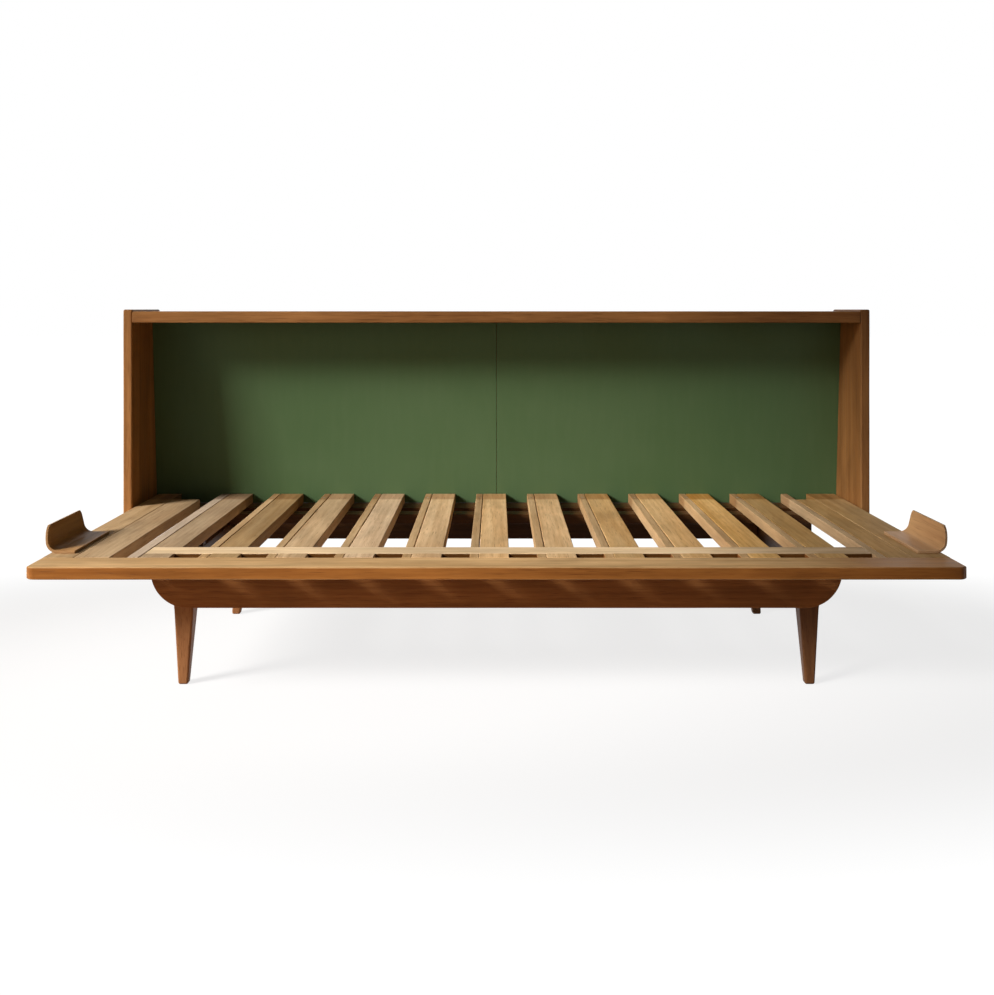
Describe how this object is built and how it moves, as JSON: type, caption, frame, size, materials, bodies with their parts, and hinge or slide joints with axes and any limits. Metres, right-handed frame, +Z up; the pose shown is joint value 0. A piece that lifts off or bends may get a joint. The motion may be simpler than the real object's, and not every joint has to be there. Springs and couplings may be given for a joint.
{
  "type": "pull-out daybed",
  "caption": "Wooden daybed with a slatted pull-out deck, upturned mattress stops at both ends, an open bedding box with a leaning green back, and tapered legs.",
  "frame": {"origin": "on the floor, under the middle of the closed object's box", "axes": "+X to the right as seen by someone facing the bed, +Y towards the back, +Z up"},
  "size_m": [1.97, 0.928, 0.831],
  "materials": {
    "deck_wood": "oiled light hardwood, satin, worn",
    "base_wood": "dark reddish stained hardwood, satin lacquer",
    "box_wood": "walnut-toned veneer, satin lacquer",
    "green_panel": "painted sheet, dull olive green",
    "bent_ply": "bent plywood, satin lacquer",
    "fastener_steel": "dull plated steel"
  },
  "bodies": {
    "base": {"front_apron": "base_wood", "rear_apron": "base_wood", "centre_runner": "base_wood", "leg_bolts": "fastener_steel", "fixed_slat_screws": "fastener_steel", "side_runner_left": "base_wood", "side_runner_right": "base_wood", "pull_stop_left": "base_wood", "pull_stop_right": "base_wood", "front_leg_left": "base_wood", "front_leg_right": "base_wood", "rear_leg_left": "base_wood", "rear_leg_right": "base_wood", "fixed_slat_01": "deck_wood", "fixed_slat_02": "deck_wood", "fixed_slat_03": "deck_wood", "fixed_slat_04": "deck_wood", "fixed_slat_05": "deck_wood", "fixed_slat_06": "deck_wood", "fixed_slat_07": "deck_wood", "fixed_slat_08": "deck_wood", "fixed_slat_09": "deck_wood", "fixed_slat_10": "deck_wood", "box_side_left": "box_wood", "box_side_right": "box_wood", "box_top": "box_wood", "box_top_lipping": "box_wood", "box_floor": "box_wood", "panel_batten": "box_wood", "back_panel_left": "green_panel", "back_panel_right": "green_panel", "panel_cleat_left": "box_wood", "panel_cleat_right": "box_wood"},
    "pullout_deck": {"front_rail": "deck_wood", "rail_teeth": "deck_wood", "crossbar": "deck_wood", "rear_tie": "base_wood", "tie_screws": "fastener_steel", "stop_screws": "fastener_steel", "end_board_left": "deck_wood", "end_board_right": "deck_wood", "outer_slat_left": "deck_wood", "outer_slat_right": "deck_wood", "edge_strip_left": "deck_wood", "edge_strip_right": "deck_wood", "mattress_stop_left": "bent_ply", "mattress_stop_right": "bent_ply", "deck_slat_01": "deck_wood", "deck_slat_02": "deck_wood", "deck_slat_03": "deck_wood", "deck_slat_04": "deck_wood", "deck_slat_05": "deck_wood", "deck_slat_06": "deck_wood", "deck_slat_07": "deck_wood", "deck_slat_08": "deck_wood", "deck_slat_09": "deck_wood", "deck_slat_10": "deck_wood", "deck_slat_11": "deck_wood"}
  },
  "joints": [
    {"name": "deck_pull_out", "type": "slide", "parent": "base", "child": "pullout_deck", "axis": [0, -1, 0], "range_m": [0, 0.25]}
  ]
}
